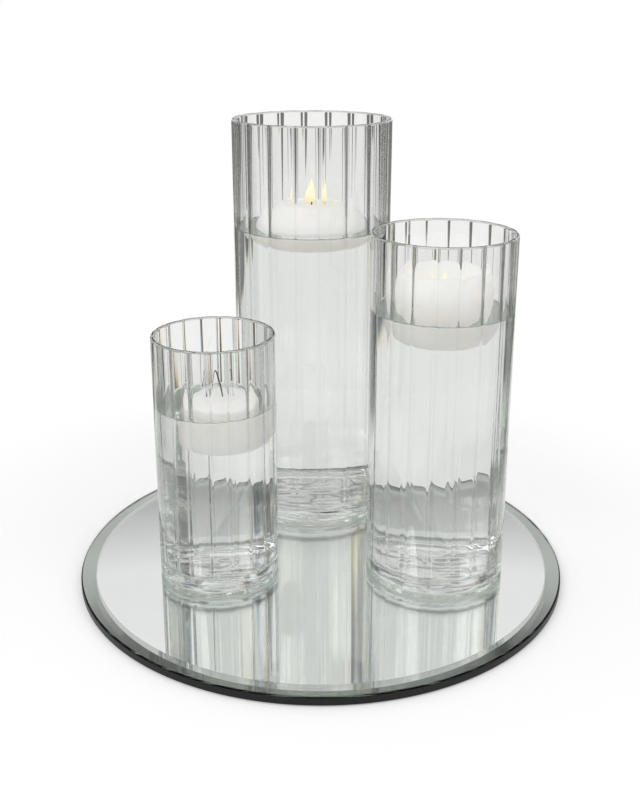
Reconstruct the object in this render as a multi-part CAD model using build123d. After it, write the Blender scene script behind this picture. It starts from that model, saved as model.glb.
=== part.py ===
from build123d import *
import os
from collections import namedtuple
from math import cos, radians, sin

# Candle plate: a round bevelled mirror set in a black tray, and three fluted glass cylinders that stand
# on it, each filled with water and carrying a floating wax candle.
# Millimetres. +Z is up, the origin is the centre of the plate's underside, and -Y is the front.
# Angles round an axis are in degrees from the front, positive towards +X.

# Plate: tray, mirror and felt pads
plate_diameter = 400.0
pad_thickness = 1.0
pad_side = 22.0
pad_count = 4
pad_inset = 34.0
tray_floor = 2.95
tray_lip = 1.0
lip_height = 2.6
mirror_clearance = 0.2
mirror_thickness = 5.0
bevel_width = 11.3
bevel_land = 4.0

# Glass cylinders: what all three share
flute_count = 18
flute_depth = 2.4
glass_wall = 3.0
glass_base = 9.0

# Glass cylinders: one by one. The place on the plate is an angle and a share of the mirror's flat radius.
tall_diameter = 139.0
tall_height = 352.0
tall_freeboard = 94.2
tall_ridge_angle = 7.1
tall_place_angle = -176.3
tall_place_share = 0.631

medium_diameter = 112.5
medium_height = 280.0
medium_freeboard = 60.9
medium_ridge_angle = 7.9
medium_place_angle = 79.1
medium_place_share = 0.512

small_diameter = 97.0
small_height = 201.0
small_freeboard = 57.5
small_ridge_angle = 0.0
small_place_angle = -74.3
small_place_share = 0.464

# Water
water_clearance = 0.05
float_clearance = 0.3

# Candles: the rim stands above the water and the foot below it. Insets run inwards from the widest edge,
# which rises from the foot, and the shoulder drops from the rim.
# The float gap lies between the widest edge and the ridges of the glass, with the candle centred.
tall_float_gap = 13.1
tall_draught = 16.0
tall_foot_inset = 17.0
tall_edge_rise = 15.4
tall_above = 21.2
tall_rim_inset = 23.0
tall_shoulder_drop = 8.0
tall_shoulder_inset = 7.0
tall_pool_lip = 5.0
tall_pool_depth = 2.5
tall_wick_rise = 6.0
tall_drift = 0.0

medium_float_gap = 10.8
medium_draught = 24.5
medium_foot_inset = 12.0
medium_edge_rise = 35.0
medium_above = 31.9
medium_rim_inset = 6.5
medium_shoulder_drop = 10.0
medium_shoulder_inset = 0.0
medium_pool_lip = 5.0
medium_pool_depth = 20.0
medium_wick_rise = 8.0
medium_drift = 0.0

small_float_gap = 15.0
small_draught = 32.5
small_foot_inset = 1.3
small_edge_rise = 1.3
small_above = 6.2
small_rim_inset = 1.3
small_shoulder_drop = 1.3
small_shoulder_inset = 0.0
small_pool_lip = 16.0
small_pool_depth = 0.6
small_wick_rise = 21.0
small_drift = 6.5

# Candles: what all three share. The wick is a flat braid.
drift_angle = 90.0
wick_width = 2.4
wick_thickness = 1.2
wick_clearance = 0.05
spent_wick_lean = 5.0
spent_wick_crook = 2.2
spent_wick_fold = 7.0
spent_wick_drop = 12.0

# Levels and radii that follow from these
tray_level = pad_thickness
seat_level = tray_level + tray_floor
lip_level = seat_level + lip_height
bevel_level = seat_level + bevel_land
stand_level = seat_level + mirror_thickness
plate_radius = plate_diameter / 2
seat_radius = plate_radius - tray_lip
mirror_radius = seat_radius - mirror_clearance
flat_radius = mirror_radius - bevel_width

Vase = namedtuple("Vase", "name diameter height freeboard ridge_angle place_angle place_share")
Candle = namedtuple(
    "Candle",
    "float_gap draught foot_inset edge_rise above rim_inset shoulder_drop shoulder_inset"
    " pool_lip pool_depth wick_rise drift",
)

upright = (Align.CENTER, Align.CENTER, Align.MIN)


def at(radius, angle, height=0.0):
    """A point at a radius and an angle from the front."""
    turn = radians(angle)
    return Vector(radius * sin(turn), -radius * cos(turn), height)


def lathe(*points):
    """A solid turned about Z from an outline of (radius, height) pairs."""
    outline = Polyline(*[(radius, 0, height) for radius, height in points], close=True)
    return revolve(make_face(outline), Axis.Z)


def disc(radius, low, high):
    """A flat round slab between two levels."""
    return Pos(0, 0, low) * Cylinder(radius, high - low, align=upright)


def plate_tray():
    """Black tray whose thin lip closes round the foot of the mirror's edge."""
    return disc(plate_radius, tray_level, lip_level) - disc(seat_radius, seat_level, lip_level)


def felt_pads():
    """Square felt pads on a circle under the tray."""
    pads = PolarLocations(plate_radius - pad_inset, pad_count)
    return Part() + [place * Box(pad_side, pad_side, pad_thickness, align=upright) for place in pads]


def mirror():
    """Silvered float glass with a wide flat bevel that leaves a thin land at the edge."""
    return lathe(
        (0, seat_level),
        (mirror_radius, seat_level),
        (mirror_radius, bevel_level),
        (flat_radius, stand_level),
        (0, stand_level),
    )


def flute_radius(vase):
    """Radius of the bottom of a flute, the widest that the hollow gets."""
    return vase.diameter / 2 - glass_wall


def ridge_radius(vase):
    """Radius of the ridges between the flutes, the narrowest that the hollow gets."""
    return flute_radius(vase) - flute_depth


def flute_marks(vase, inset=0.0):
    """Ridges and flute bottoms in turn round the hollow, back to the first ridge."""
    half_pitch = 180 / flute_count
    marks = []
    for count in range(flute_count):
        ridge_angle = vase.ridge_angle + 2 * count * half_pitch
        marks.append(at(ridge_radius(vase) - inset, ridge_angle))
        marks.append(at(flute_radius(vase) - inset, ridge_angle + half_pitch))
    return marks + marks[:1]


def vase_glass(vase):
    """Cylinder, smooth outside and fluted inside, with a thick base."""
    marks = flute_marks(vase)
    flutes = [ThreePointArc(*marks[first : first + 3]) for first in range(0, 2 * flute_count, 2)]
    hollow = Pos(0, 0, glass_base) * extrude(make_face(flutes), vase.height - glass_base)
    return disc(vase.diameter / 2, 0, vase.height) - hollow


def water_level(vase):
    """Height of the water above the plate."""
    return vase.height - vase.freeboard


def widest_radius(vase, candle):
    """Radius of a candle's widest edge."""
    return ridge_radius(vase) - candle.float_gap


def float_place(vase, candle):
    """Where a candle's axis meets the water."""
    return Pos(*at(candle.drift, drift_angle, water_level(vase)))


def wax_form(vase, candle, grow=0.0):
    """Outside of a candle about its own axis: foot, widest edge, shoulder and rim."""
    widest = widest_radius(vase, candle) + grow
    foot = -candle.draught
    return lathe(
        (0, foot - grow),
        (widest - candle.foot_inset, foot - grow),
        (widest, foot + candle.edge_rise),
        (widest - candle.shoulder_inset, candle.above - candle.shoulder_drop),
        (widest - candle.rim_inset, candle.above),
        (0, candle.above),
    )


def wick_bar(low, high, grow=0.0):
    """A straight length of wick between two levels."""
    return Pos(0, 0, low) * Box(wick_width + 2 * grow, wick_thickness + 2 * grow, high - low, align=upright)


def wax(vase, candle):
    """Candle body with its melted pool and the slot for the wick."""
    pool_radius = widest_radius(vase, candle) - candle.rim_inset - candle.pool_lip
    pool = disc(pool_radius, candle.above - candle.pool_depth, candle.above)
    return wax_form(vase, candle) - pool - wick_bar(-candle.draught, candle.above, wick_clearance)


def straight_wick(candle):
    """Wick from the foot of the candle to just above its pool."""
    return wick_bar(-candle.draught, candle.above - candle.pool_depth + candle.wick_rise)


def spent_wick(candle):
    """Burnt wick that leans as it rises and is folded over at the top."""
    pool = candle.above - candle.pool_depth
    top = pool + candle.wick_rise
    crook = -spent_wick_lean - spent_wick_crook
    run = Polyline(
        (0, 0, -candle.draught),
        (0, 0, pool),
        (-spent_wick_lean, 0, top),
        (crook, 0, top),
        (crook - spent_wick_fold, 0, top - spent_wick_drop),
    )
    section = Plane.XY.offset(-candle.draught) * Rectangle(wick_width, wick_thickness)
    return sweep(section, run, transition=Transition.RIGHT)


def vase_water(vase, candle):
    """Water up to its level with the candle's own room left free, in straight chords across the flutes."""
    low = glass_base + water_clearance
    column = extrude(make_face(Polyline(*flute_marks(vase, water_clearance))), water_level(vase) - low)
    return Pos(0, 0, low) * column - float_place(vase, candle) * wax_form(vase, candle, float_clearance)


sets = {
    Vase(
        "tall",
        tall_diameter,
        tall_height,
        tall_freeboard,
        tall_ridge_angle,
        tall_place_angle,
        tall_place_share,
    ): Candle(
        tall_float_gap,
        tall_draught,
        tall_foot_inset,
        tall_edge_rise,
        tall_above,
        tall_rim_inset,
        tall_shoulder_drop,
        tall_shoulder_inset,
        tall_pool_lip,
        tall_pool_depth,
        tall_wick_rise,
        tall_drift,
    ),
    Vase(
        "medium",
        medium_diameter,
        medium_height,
        medium_freeboard,
        medium_ridge_angle,
        medium_place_angle,
        medium_place_share,
    ): Candle(
        medium_float_gap,
        medium_draught,
        medium_foot_inset,
        medium_edge_rise,
        medium_above,
        medium_rim_inset,
        medium_shoulder_drop,
        medium_shoulder_inset,
        medium_pool_lip,
        medium_pool_depth,
        medium_wick_rise,
        medium_drift,
    ),
    Vase(
        "small",
        small_diameter,
        small_height,
        small_freeboard,
        small_ridge_angle,
        small_place_angle,
        small_place_share,
    ): Candle(
        small_float_gap,
        small_draught,
        small_foot_inset,
        small_edge_rise,
        small_above,
        small_rim_inset,
        small_shoulder_drop,
        small_shoulder_inset,
        small_pool_lip,
        small_pool_depth,
        small_wick_rise,
        small_drift,
    ),
}

nodes = {
    "plate_tray": plate_tray(),
    "plate_felt_pads": felt_pads(),
    "plate_mirror": mirror(),
}
for vase, candle in sets.items():
    stand = Pos(*at(flat_radius * vase.place_share, vase.place_angle, stand_level))
    afloat = stand * float_place(vase, candle)
    wick = spent_wick if vase.name == "small" else straight_wick
    nodes[f"{vase.name}_vase_glass"] = stand * vase_glass(vase)
    nodes[f"{vase.name}_vase_water"] = stand * vase_water(vase, candle)
    nodes[f"{vase.name}_candle_wax"] = afloat * wax(vase, candle)
    nodes[f"{vase.name}_candle_wick"] = afloat * wick(candle)

os.makedirs("parts", exist_ok=True)
for name, solid in nodes.items():
    export_step(solid, os.path.join("parts", f"{name}.step"))
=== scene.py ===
from math import atan2, pi, radians, sqrt

import bmesh
import bpy
from bpy.props import (
    CollectionProperty,
    FloatProperty,
    FloatVectorProperty,
    IntProperty,
    PointerProperty,
    StringProperty,
)
from mathutils import Euler, Matrix, Vector


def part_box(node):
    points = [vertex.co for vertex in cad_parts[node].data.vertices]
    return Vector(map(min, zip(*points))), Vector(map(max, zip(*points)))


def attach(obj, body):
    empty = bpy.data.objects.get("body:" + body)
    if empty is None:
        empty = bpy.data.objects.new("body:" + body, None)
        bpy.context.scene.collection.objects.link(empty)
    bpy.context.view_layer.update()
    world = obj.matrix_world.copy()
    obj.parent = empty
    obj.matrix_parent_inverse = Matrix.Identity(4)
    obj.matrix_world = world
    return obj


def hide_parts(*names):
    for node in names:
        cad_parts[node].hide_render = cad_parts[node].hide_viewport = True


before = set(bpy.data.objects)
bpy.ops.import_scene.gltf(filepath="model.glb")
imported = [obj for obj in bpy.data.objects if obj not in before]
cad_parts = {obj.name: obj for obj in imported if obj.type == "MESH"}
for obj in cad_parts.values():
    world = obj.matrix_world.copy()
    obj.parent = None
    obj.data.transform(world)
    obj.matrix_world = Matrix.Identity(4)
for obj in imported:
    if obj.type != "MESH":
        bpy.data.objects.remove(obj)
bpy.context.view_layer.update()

bl_info = {
    "name": "Candle Plate",
    "version": (1, 0, 0),
    "blender": (4, 5, 0),
    "location": "3D View > Sidebar > Candle Plate",
    "description": "A mirror plate with three fluted glass cylinders of water and floating candles",
    "category": "Object",
}

MM = 0.001
# Distance of the extra rings from a corner, and the distance within which two points are one.
MARGIN = 0.5 * MM
HAIR = 0.001 * MM
# Steps round the plate, each flute, a candle and a flame.
PLATE_STEPS, FLUTE_STEPS, CANDLE_STEPS, FLAME_STEPS = 256, 20, 128, 48
GLASS_IOR, WATER_IOR, WAX_IOR = 1.52, 1.333, 1.44
# Share of a lamp's light that passes the mirror's glass, the cylinders and the water.
MIRROR_PASS, GLASS_PASS, WATER_PASS = 0.9, 0.98, 0.99
WHITE = (1.0, 1.0, 1.0, 1.0)

TRAY_LOW, TRAY_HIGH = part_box("plate_tray")
MIRROR_LOW, MIRROR_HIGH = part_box("plate_mirror")

# The room that only glass and mirror show, as tones by degrees from the back wall towards +X: white behind
# the plate, with dark flags and pale screens to both sides and a dim front. The flags' edges are tinted.
WARM, COOL = (0.85, 0.74, 0.5), (0.42, 0.52, 0.66)
ROOM = (
    (-180, 0.60),
    (-126, 0.60),
    (-122, 0.10),
    (-114, 0.10),
    (-110, 0.75),
    (-92, 0.75),
    (-88, 0.04),
    (-64, 0.04),
    (-61, 0.85),
    (-50, 0.85),
    (-48, 0.04),
    (-40, 0.04),
    (-37, WARM),
    (-36, 0.95),
    (-32, 0.95),
    (-31, COOL),
    (-29, 0.04),
    (-26, 0.04),
    (-24, WARM),
    (-22, 1.00),
    (50, 1.00),
    (53, COOL),
    (56, 0.04),
    (84, 0.04),
    (88, 0.70),
    (180, 0.60),
)
# How bright the same room is, by the sine of the angle above the floor.
RISE = (
    (0.00, 0.95),
    (0.30, 0.95),
    (0.34, 0.62),
    (0.38, 0.32),
    (0.41, 0.28),
    (0.45, 0.60),
    (0.49, 0.88),
    (0.59, 0.90),
    (0.63, 0.35),
    (0.72, 0.50),
    (0.85, 1.00),
)
# The flags fade out overhead between these two sines, and reach this share of their depth below.
FLAG_FADE, FLAG_SHARE = (0.85, 0.7), 0.78
# The floor loses its own shade between these distances from the middle, in metres.
FLOOR_RADIUS, FLOOR_FADE = 6.0, (0.25, 0.45)
# Tones across the edge of the white sheet behind the plate, outwards, and half the width of that edge.
SHEET_EDGE, SHEET_BLUR = ((0.0, 1.0), (0.35, WARM), (0.7, (0.294, 0.364, 0.462)), (1.0, 0.17)), 0.04
# The lamps, as place and share of the key lamp's power.
LAMPS = (("key", (-0.9, -1.0, 1.3), 1.0), ("fill", (1.1, -0.7, 1.1), 0.5))
LAMP_SIZE, LAMP_AIM = 1.2, (0.0, 0.0, 0.15)
# The middle of the picture lies 70 of its 800 pixels below where the camera points.
SENSOR_WIDTH, CAMERA_SHIFT, VIEW_END = 36.0, -70.0 / 800.0, 20.0
# Light runs far along the walls of water and glass before it leaves them.
BOUNCES = {
    "max_bounces": 120,
    "transmission_bounces": 120,
    "glossy_bounces": 80,
    "transparent_max_bounces": 60,
}

# Roundings of the tray's foot, outer edge and inner edge, and how far its floor lies below the mirror.
TRAY_FOOT, TRAY_EDGE, TRAY_INSIDE, TRAY_GAP = 0.6 * MM, 0.4 * MM, 0.25 * MM, 0.2 * MM
# The water's edge from the glass inwards, as millimetres and shares of its climb.
WATER_EDGE = ((0, 1.0), (0.35, 0.62), (0.8, 0.36), (1.5, 0.16), (2.6, 0.04), (4.2, 0.0))
# The flame from its foot up, as shares of half its width and of its height.
FLAME_SHAPE = ((0, 0), (0.6, 0.03), (0.95, 0.12), (1.0, 0.22), (0.86, 0.4), (0.6, 0.6), (0.28, 0.83), (0, 1))
# The braid: points round it, thickness by width, width between the knots, and the most knots in one run.
BRAID_POINTS, BRAID_FLATNESS, BRAID_WAIST, BRAID_KNOTS = 10, 0.55, 0.86, 40
# The wick turns to char between these heights above the pool.
CHAR_LOW, CHAR_HIGH = -1.0 * MM, 2.0 * MM

# One entry for each cylinder and its candle, in millimetres and degrees: the first ridge of the glass from
# the front towards +X, the candle's outline and pool from its foot up as (radius, height, rounding), the
# flame's foot, height and width, and the wick's run above the pool as (sideways, height, share of its size).
SETS = {
    "tall": {
        "ridge_angle": 7.1,
        "outline": ((34.0, 0.0, 6.0), (51.0, 15.4, 3.5), (44.0, 29.2, 9.0), (28.0, 37.2, 3.0)),
        "pool": ((23.0, 37.2, 0.8), (23.0, 34.7, 1.2)),
        "flame": (37.2, 21.0, 13.0),
        "wick": ((0.0, 0.0, 1.0), (0.2, 3.0, 1.0), (0.7, 6.0, 0.8)),
    },
    "medium": {
        "ridge_angle": 7.9,
        "outline": ((28.05, 0.0, 9.0), (40.05, 35.0, 5.0), (38.05, 46.4, 5.0), (33.55, 56.4, 3.2)),
        "pool": ((28.55, 56.4, 2.4), (28.55, 36.4, 7.0)),
        "flame": (42.9, 12.5, 9.0),
        "wick": ((0.0, 0.0, 1.0), (0.3, 4.0, 1.0), (1.0, 8.0, 0.8)),
    },
    "small": {
        "ridge_angle": 0.0,
        "outline": ((28.1, 0.0, 5.5), (28.1, 36.4, 2.4), (17.0, 38.7, 3.0)),
        "pool": ((10.8, 38.7, 1.2), (9.5, 38.1, 0.5)),
        "flame": (0.0, 0.0, 0.0),
        "wick": (
            (0.0, 0.0, 0.8),
            (-2.2, 10.5, 0.7),
            (-4.8, 20.4, 0.7),
            (-6.1, 21.6, 0.7),
            (-7.4, 20.6, 0.7),
            (-9.4, 16.0, 0.7),
            (-12.0, 12.0, 0.9),
            (-13.6, 9.4, 1.2),
            (-14.0, 8.2, 0.8),
        ),
    },
}


# Settings


class PlateSettings(bpy.types.PropertyGroup):
    """Sizes and colours of the tray and the mirror"""

    bevel_width: FloatProperty(
        name="Bevel width",
        description="Width of the sloping band round the mirror",
        default=11.3 * MM,
        unit="LENGTH",
    )
    bevel_land: FloatProperty(
        name="Bevel land",
        description="Height of the edge that the bevel leaves on the mirror",
        default=4.0 * MM,
        unit="LENGTH",
    )
    lip: FloatProperty(
        name="Lip",
        description="Width of the tray's lip round the mirror",
        default=1.0 * MM,
        unit="LENGTH",
    )
    tray_colour: FloatVectorProperty(
        name="Tray colour",
        description="Colour of the tray",
        default=(0.012, 0.013, 0.012),
        subtype="COLOR",
    )
    felt_colour: FloatVectorProperty(
        name="Felt colour",
        description="Colour of the pads under the tray",
        default=(0.02, 0.02, 0.02),
        subtype="COLOR",
    )
    glass_tint: FloatVectorProperty(
        name="Mirror glass",
        description="Tint of the mirror's glass",
        default=(0.92, 0.94, 0.93),
        subtype="COLOR",
    )
    # Painted shade: the bevel's glass is tinted darker than the flat glass, standing in for the darker
    # reflections that the sloping bevel shows.
    bevel_painted_shade: FloatVectorProperty(
        name="Bevel glass",
        description="Tint of the glass on the bevel",
        default=(0.51, 0.545, 0.52),
        subtype="COLOR",
    )
    silver_colour: FloatVectorProperty(
        name="Silver",
        description="Colour of the silvering under the glass",
        default=(0.92, 0.93, 0.92),
        subtype="COLOR",
    )


class GlassSettings(bpy.types.PropertyGroup):
    """Sizes and colours that the three glass cylinders share, with their water"""

    flutes: IntProperty(
        name="Flutes",
        description="Hollow flutes round the inside",
        default=18,
        min=6,
    )
    flute_depth: FloatProperty(
        name="Flute depth",
        description="How far a flute is cut back behind its ridges",
        default=2.4 * MM,
        unit="LENGTH",
    )
    flute_power: FloatProperty(
        name="Flute power",
        description="How flat the middle of a flute is: 2 is round, and more is flatter",
        default=5.0,
        min=1.5,
    )
    ridge_round: FloatProperty(
        name="Ridge rounding",
        description="How far the ridges between the flutes are rounded",
        default=0.7 * MM,
        unit="LENGTH",
    )
    wall: FloatProperty(
        name="Wall",
        description="Thickness of the glass behind a flute",
        default=3.0 * MM,
        unit="LENGTH",
    )
    base: FloatProperty(
        name="Base",
        description="Thickness of the glass under the water",
        default=9.0 * MM,
        unit="LENGTH",
    )
    rim_round: FloatProperty(
        name="Rim rounding",
        description="Rounding of the rim's outer edge",
        default=1.4 * MM,
        unit="LENGTH",
    )
    rim_run: FloatProperty(
        name="Rim inside rounding",
        description="Rounding of the rim's inner edge, which follows the flutes",
        default=1.4 * MM,
        unit="LENGTH",
    )
    foot_round: FloatProperty(
        name="Foot rounding",
        description="Rounding of the edge that stands on the mirror",
        default=2.2 * MM,
        unit="LENGTH",
    )
    foot_ring: FloatProperty(
        name="Foot ring",
        description="Width of the ring that the glass stands on",
        default=6.0 * MM,
        unit="LENGTH",
    )
    foot_hollow: FloatProperty(
        name="Foot hollow",
        description="How far the underside is hollowed inside the foot ring",
        default=0.7 * MM,
        unit="LENGTH",
    )
    hollow_round: FloatProperty(
        name="Hollow rounding",
        description="Rounding of the slope between the foot ring and the hollow",
        default=1.5 * MM,
        unit="LENGTH",
    )
    foot_gap: FloatProperty(
        name="Foot gap",
        description="Air between the foot ring and the mirror",
        default=0.05 * MM,
        unit="LENGTH",
    )
    floor_round: FloatProperty(
        name="Floor rounding",
        description="Rounding between the inside wall and the floor",
        default=7.0 * MM,
        unit="LENGTH",
    )
    climb: FloatProperty(
        name="Water climb",
        description="How far the water climbs up the glass at its edge",
        default=1.6 * MM,
        unit="LENGTH",
    )
    overlap: FloatProperty(
        name="Water overlap",
        description="How far the water reaches into the glass, so that no air shows between them",
        default=0.05 * MM,
        unit="LENGTH",
    )
    glass_tint: FloatVectorProperty(
        name="Glass",
        description="Tint of the cylinders",
        default=(0.905, 0.909, 0.9),
        subtype="COLOR",
    )
    # Painted shade: the rim's glass is tinted darker than the wall, standing in for the dark line that light
    # running through the rim gives.
    rim_painted_shade: FloatVectorProperty(
        name="Rim tint",
        description="Tint of the rounded rim, where light runs far through the glass",
        default=(0.46, 0.48, 0.46),
        subtype="COLOR",
    )
    foot_tint: FloatVectorProperty(
        name="Foot tint",
        description="Tint of the ground foot ring",
        default=(0.86, 0.95, 0.90),
        subtype="COLOR",
    )
    water_tint: FloatVectorProperty(
        name="Water",
        description="Tint of the water",
        default=(0.985, 1.0, 0.988),
        subtype="COLOR",
    )


class CandleSettings(bpy.types.PropertyGroup):
    """Colours of the candles, their wicks and flames"""

    wax_colour: FloatVectorProperty(
        name="Wax",
        description="Colour of the wax",
        default=(0.92, 0.905, 0.875),
        subtype="COLOR",
    )
    # Painted light: the wax's glow brightens it evenly, in place of light that the room, the floor and the
    # mirror bring through it.
    wax_painted_light: FloatProperty(
        name="Wax glow",
        description="Share of white that shines through the wax from within",
        default=0.16,
        min=0.0,
    )
    glow_colour: FloatVectorProperty(
        name="Flame",
        description="Colour of a flame at its tip",
        default=(1.0, 0.93, 0.66),
        subtype="COLOR",
    )
    ember_colour: FloatVectorProperty(
        name="Flame foot",
        description="Colour of a flame round the wick",
        default=(1.0, 0.78, 0.36),
        subtype="COLOR",
    )
    cotton_colour: FloatVectorProperty(
        name="Cotton",
        description="Colour of an unburnt wick",
        default=(0.55, 0.47, 0.36),
        subtype="COLOR",
    )
    char_colour: FloatVectorProperty(
        name="Char",
        description="Colour of a burnt wick",
        default=(0.012, 0.01, 0.009),
        subtype="COLOR",
    )
    wick_width: FloatProperty(
        name="Wick width",
        description="Width of the braid",
        default=1.9 * MM,
        unit="LENGTH",
    )
    wick_knot: FloatProperty(
        name="Wick knots",
        description="Distance between the knots of the braid",
        default=0.7 * MM,
        unit="LENGTH",
    )
    glow: FloatProperty(
        name="Glow",
        description="Strength of the flames",
        default=1.2,
        min=0.0,
    )


class SetSettings(bpy.types.PropertyGroup):
    """One cylinder with its candle"""

    name: StringProperty(
        name="Set",
        description="Name that the set's pieces and bodies start with",
        default="tall",
    )
    ridge_angle: FloatProperty(
        name="First ridge",
        description="Angle of the first ridge from the front, towards +X",
        default=0.0,
        subtype="ANGLE",
        unit="ROTATION",
    )


class StageSettings(bpy.types.PropertyGroup):
    """Camera, lamps and floor"""

    floor_colour: FloatVectorProperty(
        name="Floor",
        description="Colour of the floor",
        default=(0.87, 0.87, 0.87),
        subtype="COLOR",
    )
    sheet: FloatProperty(
        name="White sheet",
        description="Half the width of the white sheet that glass and mirror show behind the plate",
        default=0.5,
        unit="LENGTH",
    )
    floor_lift: FloatProperty(
        name="Floor lift",
        description="How much of the floor's white doesn't depend on the lamps",
        default=0.25,
        min=0.0,
        max=1.0,
    )
    ambient: FloatProperty(
        name="Room light",
        description="Strength of the even light from all round",
        default=0.64,
        min=0.0,
    )
    key: FloatProperty(
        name="Key lamp",
        description="Power of the soft lamp at the upper left",
        default=7.5,
        min=0.0,
        unit="POWER",
    )
    eye: FloatVectorProperty(
        name="Camera",
        description="Place of the camera",
        default=(-0.63 * MM, -809.66 * MM, 452.82 * MM),
        subtype="TRANSLATION",
        unit="LENGTH",
    )
    pitch: FloatProperty(
        name="Camera pitch",
        description="How far the camera looks down",
        default=radians(16.992),
        subtype="ANGLE",
        unit="ROTATION",
    )
    lens: FloatProperty(
        name="Lens",
        description="Focal length of the camera in millimetres",
        default=47.655,
    )


class CandlePlateSettings(bpy.types.PropertyGroup):
    """All settings of the candle plate"""

    plate: PointerProperty(type=PlateSettings)
    glass: PointerProperty(type=GlassSettings)
    candle: PointerProperty(type=CandleSettings)
    stage: PointerProperty(type=StageSettings)
    sets: CollectionProperty(type=SetSettings)


# Modelling


def turned(outline, steps, segments=5):
    """A mesh turned about Z from an outline of (radius, height, rounding) corners, from the axis back to it.

    A rounding of 0 leaves a sharp edge, and None a smooth one. Extra rings beside each corner keep the
    shading of the long walls straight."""
    bm = bmesh.new()
    points = [Vector((radius, 0, height)) for radius, height, rounding in outline]
    sizes = [rounding or 0 for radius, height, rounding in outline]
    path = []
    for start, end, before, after in zip(points, points[1:], sizes, sizes[1:]):
        along = (end - start).normalized()
        supports = (start + along * (before + MARGIN), end - along * (after + MARGIN))
        path.append(start)
        if (end - start).length > before + after + 3 * MARGIN:
            path.extend(supports)
    verts = [bm.verts.new(point) for point in (*path, points[-1])]
    edges = [bm.edges.new(pair) for pair in zip(verts, verts[1:])]
    bmesh.ops.spin(
        bm,
        geom=verts + edges,
        cent=(0, 0, 0),
        axis=(0, 0, 1),
        angle=2 * pi,
        steps=steps,
        use_merge=True,
    )
    bmesh.ops.remove_doubles(bm, verts=bm.verts, dist=HAIR)
    bmesh.ops.recalc_face_normals(bm, faces=bm.faces)
    for radius, height, rounding in outline[1:-1]:
        edges = ring(bm, radius, height)
        if rounding == 0:
            for edge in edges:
                edge.smooth = False
        elif rounding:
            bmesh.ops.bevel(
                bm,
                geom=edges,
                offset=rounding,
                segments=segments,
                profile=0.5,
                affect="EDGES",
                clamp_overlap=True,
                material=-1,
            )
    return bm


def reach(point):
    """Distance of a point from the Z axis."""
    return sqrt(point.x**2 + point.y**2)


def ring(bm, radius, height):
    """The edges of one ring of a turned mesh."""
    slack = 10 * HAIR

    def on_ring(vert):
        return abs(reach(vert.co) - radius) < slack and abs(vert.co.z - height) < slack

    return [edge for edge in bm.edges if all(on_ring(vert) for vert in edge.verts)]


def piece(name, bm, body, node, slot, *materials):
    """Turns a bmesh into a finished piece that rides on a body and stands for a CAD node."""
    mesh = bpy.data.meshes.new(name)
    for face in bm.faces:
        face.smooth = True
    bm.to_mesh(mesh)
    bm.free()
    for material in materials:
        mesh.materials.append(material)
    obj = bpy.data.objects.new(name, mesh)
    bpy.context.scene.collection.objects.link(obj)
    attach(obj, body)
    if node:
        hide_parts(node)
    return obj


def braided(run, width, knot):
    """A flat braid along a run of (place, thickness) stations, a little thinner between its knots."""
    bm = bmesh.new()
    bmesh.ops.create_circle(bm, cap_ends=True, segments=BRAID_POINTS, radius=width / 2)
    bmesh.ops.scale(bm, vec=(1, BRAID_FLATNESS, 1), verts=bm.verts)
    here, size = run[0]
    bmesh.ops.translate(bm, vec=here, verts=bm.verts)
    bm.faces.ensure_lookup_table()
    cap, lean, bulge = bm.faces[0], 0.0, 1.0
    for spot, thick in run[1:]:
        length = (spot - here).length
        steps = min(max(round(length / knot), 1), BRAID_KNOTS)
        turn = atan2(spot.x - here.x, spot.z - here.z)
        for step in range(1, steps + 1):
            share = step / steps
            grown = bmesh.ops.extrude_face_region(bm, geom=[cap])["geom"]
            cap = next(item for item in grown if isinstance(item, bmesh.types.BMFace))
            verts = cap.verts[:]
            middle = cap.calc_center_median()
            wanted = (size + (thick - size) * share) * (BRAID_WAIST if step % 2 else 1.0)
            bmesh.ops.scale(bm, vec=(wanted / bulge,) * 3, space=Matrix.Translation(-middle), verts=verts)
            # Half of a bend is made at each end of a run.
            ends = (step == 1) + (step == steps)
            bend = Matrix.Rotation(ends * (turn - lean) / 2, 3, "Y")
            bmesh.ops.rotate(bm, cent=middle, matrix=bend, verts=verts)
            bmesh.ops.translate(bm, vec=here.lerp(spot, share) - middle, verts=verts)
            bulge = wanted
        here, size, lean = spot, thick, turn
    bmesh.ops.recalc_face_normals(bm, faces=bm.faces)
    return bm


def axis_of(node):
    """Where the axis of a round node meets the floor."""
    low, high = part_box(node)
    return Vector(((low.x + high.x) / 2, (low.y + high.y) / 2, 0))


def flute_reach(angle, ridge, glass, first):
    """Radius of the fluted inside at an angle from the front: hollow flutes that meet in softened ridges."""
    pitch = 2 * pi / glass.flutes
    turns = (angle - first) / pitch
    from_ridge = abs(turns - round(turns)) * pitch * ridge
    from_middle = 1 - sqrt(from_ridge**2 + glass.ridge_round**2) / (ridge * pitch / 2)
    return ridge + glass.flute_depth * (1 - abs(from_middle) ** glass.flute_power)


def flute(verts, ridge, glass, first, grow=0.0):
    """Moves the points of a round wall out into the flutes."""
    for vert in verts:
        angle = atan2(vert.co.x, -vert.co.y)
        far = reach(vert.co)
        scale = (far + flute_reach(angle, ridge, glass, first) - ridge + grow) / far
        vert.co.x *= scale
        vert.co.y *= scale


# Materials


def new_material(name):
    """An empty node material with its output."""
    material = bpy.data.materials.new(name)
    material.use_nodes = True
    tree = material.node_tree
    tree.nodes.clear()
    output = tree.nodes.new("ShaderNodeOutputMaterial")
    return material, tree, output


def node(tree, kind, inputs=None, **values):
    """Adds a node, sets its properties and sockets, and links the sockets that are given another socket."""
    made = tree.nodes.new(kind)
    for name, value in values.items():
        setattr(made, name, value)
    for name, value in (inputs or {}).items():
        if isinstance(value, bpy.types.NodeSocket):
            tree.links.new(value, made.inputs[name])
        else:
            made.inputs[name].default_value = value
    return made


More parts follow.
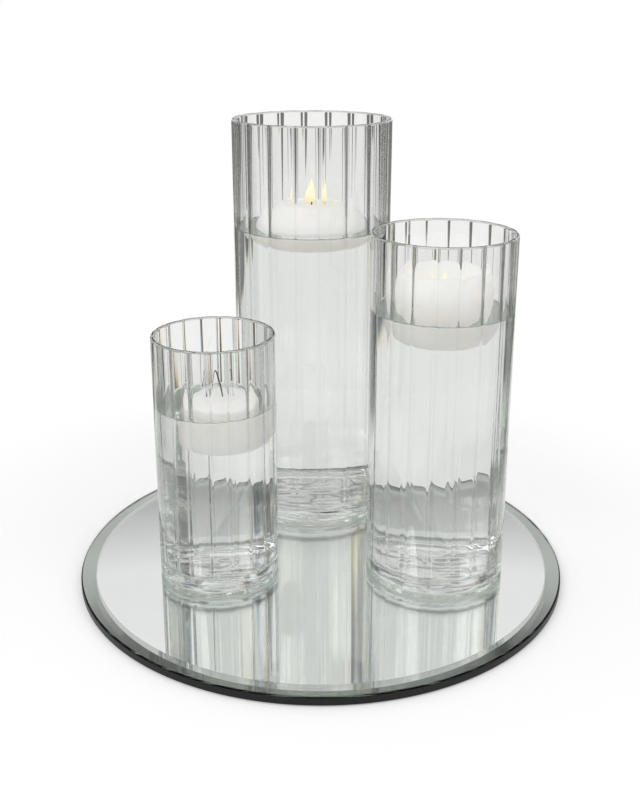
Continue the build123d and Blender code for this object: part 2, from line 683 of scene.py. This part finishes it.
def place(tree, scale=(1.0, 1.0, 1.0)):
    """Object coordinates, scaled."""
    coordinates = node(tree, "ShaderNodeTexCoord")
    mapping = node(tree, "ShaderNodeMapping", {"Vector": coordinates.outputs["Object"], "Scale": scale})
    return mapping.outputs["Vector"]


def level(tree):
    """Height on the piece."""
    return node(tree, "ShaderNodeSeparateXYZ", {"Vector": place(tree)}).outputs["Z"]


def noise(tree, scale, **inputs):
    """Noise on Object coordinates, with a scale for each axis or one for all."""
    if isinstance(scale, float):
        scale = (scale,) * 3
    inputs = {"Vector": place(tree, scale), "Scale": 1.0, **inputs}
    return node(tree, "ShaderNodeTexNoise", inputs).outputs["Fac"]


def spread(tree, value, low, high, start=0.0, end=1.0, **values):
    """Spreads a value that runs from start to end between low and high."""
    inputs = {"Value": value, "From Min": start, "From Max": end, "To Min": low, "To Max": high}
    return node(tree, "ShaderNodeMapRange", inputs, **values).outputs["Result"]


def bumps(tree, height, strength, distance, **inputs):
    """The normal of a surface with bumps."""
    inputs = {"Height": height, "Strength": strength, "Distance": distance, **inputs}
    return node(tree, "ShaderNodeBump", inputs).outputs["Normal"]


def maths(tree, operation, *values):
    """One step of arithmetic on numbers and sockets."""
    return node(tree, "ShaderNodeMath", dict(enumerate(values)), operation=operation).outputs["Value"]


def blend(tree, factor, start, end, blend_type="MIX"):
    """A mix of two colours."""
    inputs = {0: factor, 6: start, 7: end}
    return node(tree, "ShaderNodeMix", inputs, data_type="RGBA", blend_type=blend_type).outputs[2]


def ramp(tree, factor, *stops):
    """A colour ramp of (position, colour) stops, where a lone number is a grey."""
    made = node(tree, "ShaderNodeValToRGB", {"Fac": factor})
    elements = made.color_ramp.elements
    elements.remove(elements[-1])
    elements[0].position = stops[0][0]
    for position, colour in stops[1:]:
        elements.new(position)
    for element, (position, colour) in zip(elements, stops):
        if isinstance(colour, float):
            colour = (colour,) * 3
        element.color = (*colour[:3], 1.0)
    return made.outputs["Color"]


def shade(colour, amount):
    """A colour made lighter or darker."""
    return tuple(min(part * amount, 1.0) for part in colour)


def surface(tree, output, inputs):
    """Gives a material a Principled shader."""
    shader = node(tree, "ShaderNodeBsdfPrincipled", inputs)
    tree.links.new(shader.outputs["BSDF"], output.inputs["Surface"])


def clear_material(name, tint, ior, streaks, waviness, lamp_pass, cast=None):
    """Clear glass or water: a tint that varies a little, faint waves, and lamps that shine through.

    Below the level of a cast base the waves are strong."""
    material, tree, output = new_material(name)
    drawn = noise(tree, streaks, Detail=2.0, Roughness=0.5)
    colour = ramp(tree, drawn, (0.3, shade(tint, 0.985)), (0.7, shade(tint, 1.01)))
    waves = bumps(tree, drawn, waviness, 0.4 * MM)
    if cast:
        swirls = noise(tree, 48.0, Detail=0.0, Distortion=0.4)
        depth = spread(tree, level(tree), 0.0, 0.3, cast + MM, cast - MM)
        waves = bumps(tree, swirls, depth, 3.0 * MM, Normal=waves)
    clear = node(
        tree,
        "ShaderNodeBsdfPrincipled",
        {"Base Color": colour, "Roughness": 0.0, "IOR": ior, "Transmission Weight": 1.0, "Normal": waves},
    )
    through = node(tree, "ShaderNodeBsdfTransparent", {"Color": (lamp_pass, lamp_pass, lamp_pass, 1.0)})
    path = node(tree, "ShaderNodeLightPath")
    mix = node(
        tree,
        "ShaderNodeMixShader",
        {"Fac": path.outputs["Is Shadow Ray"], 1: clear.outputs["BSDF"], 2: through.outputs["BSDF"]},
    )
    tree.links.new(mix.outputs["Shader"], output.inputs["Surface"])
    return material


def ground_material(name, tint):
    """Glass with a ground surface that scatters part of the light."""
    material, tree, output = new_material(name)
    grit = noise(tree, 90.0, Detail=2.0)
    surface(
        tree,
        output,
        {
            "Base Color": ramp(tree, grit, (0.3, shade(tint, 0.93)), (0.7, shade(tint, 1.05))),
            "Roughness": spread(tree, grit, 0.08, 0.22),
            "IOR": GLASS_IOR,
            "Transmission Weight": 0.6,
        },
    )
    return material


def silver_material(name, colour):
    """Silvering seen through the glass, with the faintest mottling."""
    material, tree, output = new_material(name)
    mottle = noise(tree, 60.0, Detail=3.0)
    tone = ramp(tree, mottle, (0.35, shade(colour, 0.985)), (0.65, colour))
    surface(tree, output, {"Base Color": tone, "Metallic": 1.0, "Roughness": 0.0})
    return material


def tray_material(name, colour):
    """Satin black plastic with a fine moulded grain."""
    material, tree, output = new_material(name)
    grain = noise(tree, 900.0, Detail=3.0)
    surface(
        tree,
        output,
        {
            "Base Color": ramp(tree, grain, (0.3, shade(colour, 0.7)), (0.75, shade(colour, 1.5))),
            "Roughness": spread(tree, grain, 0.28, 0.42),
            "Specular IOR Level": 0.2,
            "Normal": bumps(tree, grain, 0.15, 0.1 * MM),
        },
    )
    return material


def felt_material(name, colour):
    """Black felt with matted fibres."""
    material, tree, output = new_material(name)
    fibres = noise(tree, 1500.0, Detail=5.0, Distortion=2.0)
    surface(
        tree,
        output,
        {
            "Base Color": ramp(tree, fibres, (0.3, shade(colour, 0.5)), (0.7, shade(colour, 2.2))),
            "Roughness": 0.95,
            "Sheen Weight": 0.4,
            "Normal": bumps(tree, fibres, 0.6, 0.3 * MM),
        },
    )
    return material


def wax_material(name, colour, glow):
    """White wax: cloudy colour, a soft uneven skin, and light that sinks in.

    A faint glow is painted light: it brightens the wax evenly in place of light that comes through it, and
    most of all on faces that look down, in place of light from below."""
    material, tree, output = new_material(name)
    clouds = noise(tree, 70.0, Detail=4.0)
    skin = noise(tree, 260.0, Detail=3.0)
    tone = ramp(tree, clouds, (0.3, shade(colour, 0.965)), (0.7, shade(colour, 1.02)))
    facing = node(tree, "ShaderNodeNewGeometry")
    upward = node(tree, "ShaderNodeSeparateXYZ", {"Vector": facing.outputs["Normal"]})
    surface(
        tree,
        output,
        {
            "Base Color": tone,
            "Roughness": spread(tree, skin, 0.38, 0.58),
            "IOR": WAX_IOR,
            "Subsurface Weight": 1.0,
            "Subsurface Radius": (1.0, 0.9, 0.75),
            "Subsurface Scale": 20.0 * MM,
            "Emission Color": tone,
            # Painted light: the glow runs from this strength on faces that look sideways or up to two and a
            # half times it on faces that look down.
            "Emission Strength": spread(tree, upward.outputs["Z"], glow, 2.5 * glow, 0.0, -1.0),
            "Normal": bumps(tree, skin, 0.25, 0.6 * MM),
        },
    )
    return material


def wick_material(name, fresh, charred, low, high):
    """Braided cotton that turns to char between two heights."""
    material, tree, output = new_material(name)
    braid = node(
        tree,
        "ShaderNodeTexWave",
        {"Vector": place(tree), "Scale": 700.0, "Distortion": 1.5, "Detail": 2.0},
        bands_direction="DIAGONAL",
    )
    burnt = spread(tree, level(tree), 0.0, 1.0, low, high)
    tone = ramp(tree, burnt, (0.0, fresh), (0.6, shade(charred, 3.0)), (1.0, charred))
    surface(
        tree,
        output,
        {
            "Base Color": blend(tree, 0.35, tone, braid.outputs["Color"], "MULTIPLY"),
            "Roughness": 0.9,
            "Normal": bumps(tree, braid.outputs["Fac"], 0.7, 0.4 * MM),
        },
    )
    return material


def flame_material(name, tip, foot, strength, low, high):
    """A flame that is warmer round the wick and paler towards its tip."""
    material, tree, output = new_material(name)
    rise = spread(tree, level(tree), 0.0, 1.0, low, high)
    tone = ramp(tree, rise, (0.0, foot), (0.35, tip), (1.0, tip))
    glow = node(tree, "ShaderNodeEmission", {"Color": tone, "Strength": strength})
    tree.links.new(glow.outputs["Emission"], output.inputs["Surface"])
    return material


# Surroundings


def sightlines(tree):
    """Whether a ray looks at the room through glass or in a mirror, and whether it looks at it at all.

    A ray that has been scattered by a matt surface only brings light, so it does neither."""
    path = node(tree, "ShaderNodeLightPath").outputs
    bent = maths(tree, "MAXIMUM", path["Is Glossy Ray"], path["Is Transmission Ray"])
    unscattered = maths(tree, "LESS_THAN", path["Diffuse Depth"], 0.5)
    glassy = maths(tree, "MULTIPLY", bent, unscattered)
    return glassy, maths(tree, "MAXIMUM", path["Is Camera Ray"], glassy)


def room(tree, direction):
    """Colour of the room by the angle of a direction round the plate, and the height of that direction."""
    parts = node(tree, "ShaderNodeSeparateXYZ", {"Vector": direction}).outputs
    angle = maths(tree, "ARCTAN2", parts["X"], parts["Y"])
    turn = spread(tree, angle, 0.0, 1.0, -pi, pi)
    return ramp(tree, turn, *[(0.5 + degrees / 360, tone) for degrees, tone in ROOM]), parts["Z"]


def white_sheet(tree, spot, half_width):
    """Colour of the floor behind the plate: a white sheet, and dark beside it."""
    parts = node(tree, "ShaderNodeSeparateXYZ", {"Vector": spot}).outputs
    aside = maths(tree, "ABSOLUTE", parts["X"])
    off = spread(tree, aside, 0.0, 1.0, half_width - SHEET_BLUR, half_width + SHEET_BLUR)
    behind = maths(tree, "GREATER_THAN", parts["Y"], 0.0)
    return ramp(tree, maths(tree, "MULTIPLY", off, behind), *SHEET_EDGE)


# Operators


class CANDLEPLATE_OT_tray(bpy.types.Operator):
    """Make the black tray that holds the mirror"""

    bl_idname = "candle_plate.make_tray"
    bl_label = "Tray"

    def execute(self, context):
        plate = context.scene.candle_plate.plate
        outside = (TRAY_HIGH.x - TRAY_LOW.x) / 2
        inside = outside - plate.lip
        low, high, seat = TRAY_LOW.z, TRAY_HIGH.z, MIRROR_LOW.z - TRAY_GAP
        outline = (
            (0, low, None),
            (outside, low, TRAY_FOOT),
            (outside, high, TRAY_EDGE),
            (inside, high, TRAY_INSIDE),
            (inside, seat, 0),
            (0, seat, None),
        )
        bm = turned(outline, PLATE_STEPS)
        piece("tray", bm, "plate", "plate_tray", "tray", tray_material("satin_black", plate.tray_colour))
        return {"FINISHED"}


class CANDLEPLATE_OT_felt(bpy.types.Operator):
    """Give the pads under the tray their felt"""

    bl_idname = "candle_plate.finish_felt"
    bl_label = "Felt pads"

    def execute(self, context):
        colour = context.scene.candle_plate.plate.felt_colour
        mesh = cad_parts["plate_felt_pads"].data
        mesh.materials.clear()
        mesh.materials.append(felt_material("black_felt", colour))
        return {"FINISHED"}


class CANDLEPLATE_OT_mirror(bpy.types.Operator):
    """Make the bevelled mirror: clear glass above and silvering beneath"""

    bl_idname = "candle_plate.make_mirror"
    bl_label = "Mirror"

    def execute(self, context):
        plate = context.scene.candle_plate.plate
        edge = (MIRROR_HIGH.x - MIRROR_LOW.x) / 2
        flat = edge - plate.bevel_width
        low, high = MIRROR_LOW.z, MIRROR_HIGH.z
        land = low + plate.bevel_land
        outline = ((0, low, None), (edge, low, 0), (edge, land, 0), (flat, high, 0), (0, high, None))
        bm = turned(outline, PLATE_STEPS)
        # The materials in order: the flat glass, the bevel and the edge in glass darkened with painted shade,
        # the underside.
        for face in bm.faces:
            middle = face.calc_center_median()
            if middle.z < low + HAIR:
                face.material_index = 2
            elif reach(middle) > flat - 100 * HAIR:
                face.material_index = 1
        piece(
            "mirror",
            bm,
            "plate",
            "plate_mirror",
            "mirror",
            clear_material("mirror_glass", plate.glass_tint, GLASS_IOR, 3.0, 0.0, MIRROR_PASS),
            # The bevel's darker tint is painted shade.
            clear_material("bevel_glass_painted_shade", plate.bevel_painted_shade, GLASS_IOR, 9.0, 0.0, MIRROR_PASS),
            silver_material("silvering", plate.silver_colour),
        )
        return {"FINISHED"}


class CANDLEPLATE_OT_vases(bpy.types.Operator):
    """Make the glass cylinders: smooth outside, fluted inside, with a thick base and a rounded rim"""

    bl_idname = "candle_plate.make_vases"
    bl_label = "Glass cylinders"

    def execute(self, context):
        glass = context.scene.candle_plate.glass
        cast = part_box("tall_vase_glass")[0].z + glass.base
        drawn = (25.0, 25.0, 6.0)
        clear = clear_material("clear_glass", glass.glass_tint, GLASS_IOR, drawn, 0.02, GLASS_PASS, cast)
        # The rim's darker tint is painted shade.
        edge = clear_material("rim_glass_painted_shade", glass.rim_painted_shade, GLASS_IOR, 60.0, 0.02, GLASS_PASS)
        ground = ground_material("foot_glass", glass.foot_tint)
        for entry in context.scene.candle_plate.sets:
            source = f"{entry.name}_vase_glass"
            low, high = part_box(source)
            outside = (high.x - low.x) / 2
            ridge = outside - glass.wall - glass.flute_depth
            foot, rim, floor = low.z, high.z, low.z + glass.base
            hollow_edge = outside - glass.foot_ring
            outline = (
                (0, foot + glass.foot_hollow, None),
                (hollow_edge - glass.foot_ring, foot + glass.foot_hollow, glass.hollow_round),
                (hollow_edge, foot + glass.foot_gap, glass.hollow_round),
                (outside, foot + glass.foot_gap, glass.foot_round),
                (outside, rim, glass.rim_round),
                (ridge, rim, glass.rim_run),
                (ridge, floor, glass.floor_round),
                (0, floor, None),
            )
            bm = turned(outline, FLUTE_STEPS * glass.flutes)
            rim_middle = ridge + glass.rim_run + 2 * MARGIN
            hollow = [
                vert
                for vert in bm.verts
                if ridge / 2 < reach(vert.co) < rim_middle and vert.co.z > floor - HAIR
            ]
            flute(hollow, ridge, glass, entry.ridge_angle)
            # The materials in order: the wall, the rim in glass darkened with painted shade, the edge of the
            # foot.
            for face in bm.faces:
                middle = face.calc_center_median()
                if middle.z > rim - glass.rim_round:
                    face.material_index = 1
                elif middle.z < foot + glass.foot_round and reach(middle) > outside - glass.foot_round:
                    face.material_index = 2
            bmesh.ops.translate(bm, verts=bm.verts, vec=axis_of(source))
            piece(f"{entry.name}_vase", bm, f"{entry.name}_vase", source, "clear_glass", clear, edge, ground)
        return {"FINISHED"}


class CANDLEPLATE_OT_water(bpy.types.Operator):
    """Fill the cylinders with water that climbs a little at the glass"""

    bl_idname = "candle_plate.make_water"
    bl_label = "Water"

    def execute(self, context):
        glass = context.scene.candle_plate.glass
        clear = clear_material("water", glass.water_tint, WATER_IOR, (12.0, 12.0, 4.0), 0.0, WATER_PASS)
        for entry in context.scene.candle_plate.sets:
            low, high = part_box(f"{entry.name}_vase_glass")
            outside = (high.x - low.x) / 2
            ridge = outside - glass.wall - glass.flute_depth
            bottom = low.z + glass.base - glass.overlap
            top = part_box(f"{entry.name}_vase_water")[1].z
            outline = [(0, bottom, None), (ridge, bottom, glass.floor_round)]
            for inset, rise in WATER_EDGE:
                outline.append((ridge - inset * MM, top + glass.climb * rise, None if inset else 0))
            outline.append((0, top, None))
            bm = turned(outline, FLUTE_STEPS * glass.flutes)
            wall = [vert for vert in bm.verts if reach(vert.co) > ridge / 2]
            flute(wall, ridge, glass, entry.ridge_angle, glass.overlap)
            bmesh.ops.translate(bm, verts=bm.verts, vec=axis_of(f"{entry.name}_vase_glass"))
            piece(f"{entry.name}_water", bm, f"{entry.name}_vase", f"{entry.name}_vase_water", "water", clear)
        return {"FINISHED"}


class CANDLEPLATE_OT_wax(bpy.types.Operator):
    """Make the floating candles"""

    bl_idname = "candle_plate.make_wax"
    bl_label = "Candles"

    def execute(self, context):
        candle = context.scene.candle_plate.candle
        # The wax's glow is painted light.
        wax = wax_material("white_wax", candle.wax_colour, candle.wax_painted_light)
        for entry in context.scene.candle_plate.sets:
            source = f"{entry.name}_candle_wax"
            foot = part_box(source)[0].z
            corners = [
                (radius * MM, foot + height * MM, size * MM)
                for radius, height, size in SETS[entry.name]["outline"] + SETS[entry.name]["pool"]
            ]
            outline = [(0, corners[0][1], None), *corners, (0, corners[-1][1], None)]
            bm = turned(outline, CANDLE_STEPS, segments=6)
            bmesh.ops.translate(bm, verts=bm.verts, vec=axis_of(source))
            piece(f"{entry.name}_wax", bm, f"{entry.name}_candle", source, "wax", wax)
        return {"FINISHED"}


class CANDLEPLATE_OT_wicks(bpy.types.Operator):
    """Make the braided wicks: two short ones that burn, and a long charred one that is folded over"""

    bl_idname = "candle_plate.make_wicks"
    bl_label = "Wicks"

    def execute(self, context):
        candle = context.scene.candle_plate.candle
        for entry in context.scene.candle_plate.sets:
            values, source = SETS[entry.name], f"{entry.name}_candle_wick"
            axis, foot = axis_of(f"{entry.name}_candle_wax"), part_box(source)[0].z
            pool = foot + values["pool"][-1][1] * MM
            run = [(axis + Vector((0, 0, foot)), values["wick"][0][2])]
            for side, rise, size in values["wick"]:
                run.append((axis + Vector((side * MM, 0, pool + rise * MM)), size))
            bm = braided(run, candle.wick_width, candle.wick_knot)
            cotton = wick_material(
                f"{entry.name}_cotton",
                candle.cotton_colour,
                candle.char_colour,
                pool + CHAR_LOW,
                pool + CHAR_HIGH,
            )
            slot = "lit_wick" if values["flame"][1] else "spent_wick"
            piece(f"{entry.name}_wick", bm, f"{entry.name}_candle", source, slot, cotton)
        return {"FINISHED"}


class CANDLEPLATE_OT_flames(bpy.types.Operator):
    """Light the two candles that burn"""

    bl_idname = "candle_plate.make_flames"
    bl_label = "Flames"

    def execute(self, context):
        candle = context.scene.candle_plate.candle
        for entry in context.scene.candle_plate.sets:
            rise, height, width = [size * MM for size in SETS[entry.name]["flame"]]
            if not height:
                continue
            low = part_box(f"{entry.name}_candle_wax")[0].z + rise
            outline = [(radius * width / 2, low + share * height, None) for radius, share in FLAME_SHAPE]
            bm = turned(outline, FLAME_STEPS)
            bmesh.ops.translate(bm, verts=bm.verts, vec=axis_of(f"{entry.name}_candle_wax"))
            glow = flame_material(
                f"{entry.name}_flame",
                candle.glow_colour,
                candle.ember_colour,
                candle.glow,
                low,
                low + height,
            )
            flame = piece(f"{entry.name}_flame", bm, f"{entry.name}_candle", None, "lit_wick", glow)
            smooth = flame.modifiers.new("Smooth", "SUBSURF")
            smooth.levels = smooth.render_levels = 1
        return {"FINISHED"}


class CANDLEPLATE_OT_stage(bpy.types.Operator):
    """Set the floor, the lamps, the white surroundings and the camera"""

    bl_idname = "candle_plate.set_stage"
    bl_label = "Stage"

    def execute(self, context):
        stage = context.scene.candle_plate.stage
        self.lay_floor(context.scene, stage)
        self.hang_lamps(context.scene, stage)
        self.light_room(context.scene, stage)
        self.aim_camera(context.scene, stage)
        return {"FINISHED"}

    def lay_floor(self, scene, stage):
        """A white floor that keeps the shadow near the plate and is plain white farther out."""
        bm = bmesh.new()
        bmesh.ops.create_circle(bm, cap_ends=True, segments=64, radius=FLOOR_RADIUS)
        mesh = bpy.data.meshes.new("floor")
        bm.to_mesh(mesh)
        bm.free()
        material, tree, output = new_material("white_floor")
        spot = place(tree)
        out = node(tree, "ShaderNodeVectorMath", {0: spot}, operation="LENGTH").outputs["Value"]
        far = spread(tree, out, 0.0, 1.0, *FLOOR_FADE, interpolation_type="SMOOTHSTEP")
        glassy, seen = sightlines(tree)
        near = (*stage.floor_colour, 1.0)
        tone = ramp(tree, far, (0.0, near), (1.0, 0.0))
        matt = node(tree, "ShaderNodeBsdfDiffuse", {"Color": blend(tree, seen, near, tone)})
        around = blend(tree, 1.0, room(tree, spot)[0], white_sheet(tree, spot, stage.sheet), "MULTIPLY")
        colour = blend(tree, glassy, WHITE, blend(tree, far, WHITE, around))
        strength = maths(tree, "MULTIPLY", seen, spread(tree, far, stage.floor_lift, 1.0))
        white = node(tree, "ShaderNodeEmission", {"Color": colour, "Strength": strength})
        both = node(tree, "ShaderNodeAddShader", {0: matt.outputs["BSDF"], 1: white.outputs["Emission"]})
        tree.links.new(both.outputs["Shader"], output.inputs["Surface"])
        mesh.materials.append(material)
        floor = bpy.data.objects.new("floor", mesh)
        scene.collection.objects.link(floor)

    def hang_lamps(self, scene, stage):
        """Two large soft lamps in front, above the plate."""
        for name, spot, share in LAMPS:
            light = bpy.data.lights.new(name, "AREA")
            light.shape = "DISK"
            light.size = LAMP_SIZE
            light.energy = stage.key * share
            lamp = bpy.data.objects.new(name, light)
            lamp.location = spot
            lamp.rotation_euler = (Vector(LAMP_AIM) - lamp.location).to_track_quat("-Z", "Y").to_euler()
            scene.collection.objects.link(lamp)

    def light_room(self, scene, stage):
        """Even light from all round, and the room that shows only in glass and mirror."""
        world = bpy.data.worlds.new("white_room")
        world.use_nodes = True
        tree = world.node_tree
        tree.nodes.clear()
        output = node(tree, "ShaderNodeOutputWorld")
        facing = node(tree, "ShaderNodeTexCoord")
        glassy, seen = sightlines(tree)
        bands, height = room(tree, facing.outputs["Generated"])
        sides = blend(tree, spread(tree, height, 0.0, FLAG_SHARE, *FLAG_FADE), WHITE, bands)
        walls = blend(tree, 1.0, sides, ramp(tree, height, *RISE), "MULTIPLY")
        colour = blend(tree, glassy, WHITE, walls)
        even = node(tree, "ShaderNodeBackground", {"Color": WHITE, "Strength": stage.ambient})
        white = node(tree, "ShaderNodeBackground", {"Color": colour, "Strength": 1.0})
        mix = node(
            tree,
            "ShaderNodeMixShader",
            {"Fac": seen, 1: even.outputs["Background"], 2: white.outputs["Background"]},
        )
        tree.links.new(mix.outputs["Shader"], output.inputs["Surface"])
        scene.world = world

    def aim_camera(self, scene, stage):
        """The camera, and how far light may run through glass and water."""
        camera = bpy.data.cameras.new("camera")
        camera.sensor_width = SENSOR_WIDTH
        camera.lens = stage.lens
        camera.shift_y = CAMERA_SHIFT
        camera.clip_end = VIEW_END
        eye = bpy.data.objects.new("camera", camera)
        eye.location = stage.eye
        eye.rotation_euler = Euler((pi / 2 - stage.pitch, 0, 0))
        scene.collection.objects.link(eye)
        scene.camera = eye
        scene.view_settings.view_transform = "Standard"
        for name, count in BOUNCES.items():
            setattr(scene.cycles, name, count)


class CANDLEPLATE_PT_sidebar(bpy.types.Panel):
    """Settings and operators of the candle plate"""

    bl_idname = "CANDLEPLATE_PT_sidebar"
    bl_label = "Candle Plate"
    bl_space_type = "VIEW_3D"
    bl_region_type = "UI"
    bl_category = "Candle Plate"

    def draw(self, context):
        settings = context.scene.candle_plate
        for operator in OPERATORS:
            self.layout.operator(operator.bl_idname)
        for group in (settings.plate, settings.glass, settings.candle, settings.stage):
            box = self.layout.box()
            for name in group.bl_rna.properties.keys():
                if name not in ("name", "rna_type"):
                    box.prop(group, name)
        for entry in settings.sets:
            row = self.layout.row()
            row.label(text=entry.name)
            row.prop(entry, "ridge_angle")


OPERATORS = (
    CANDLEPLATE_OT_tray,
    CANDLEPLATE_OT_felt,
    CANDLEPLATE_OT_mirror,
    CANDLEPLATE_OT_vases,
    CANDLEPLATE_OT_water,
    CANDLEPLATE_OT_wax,
    CANDLEPLATE_OT_wicks,
    CANDLEPLATE_OT_flames,
    CANDLEPLATE_OT_stage,
)
CLASSES = (
    PlateSettings,
    GlassSettings,
    CandleSettings,
    SetSettings,
    StageSettings,
    CandlePlateSettings,
    *OPERATORS,
    CANDLEPLATE_PT_sidebar,
)


def register():
    """Adds the settings, operators and panel."""
    for cls in CLASSES:
        bpy.utils.register_class(cls)
    bpy.types.Scene.candle_plate = PointerProperty(type=CandlePlateSettings)


def unregister():
    """Takes them away again."""
    del bpy.types.Scene.candle_plate
    for cls in reversed(CLASSES):
        bpy.utils.unregister_class(cls)


def main():
    """Makes the whole set."""
    register()
    settings = bpy.context.scene.candle_plate
    for name, values in SETS.items():
        entry = settings.sets.add()
        entry.name = name
        entry.ridge_angle = radians(values["ridge_angle"])
    for operator in OPERATORS:
        group, name = operator.bl_idname.split(".")
        getattr(getattr(bpy.ops, group), name)()


if __name__ == "__main__":
    main()
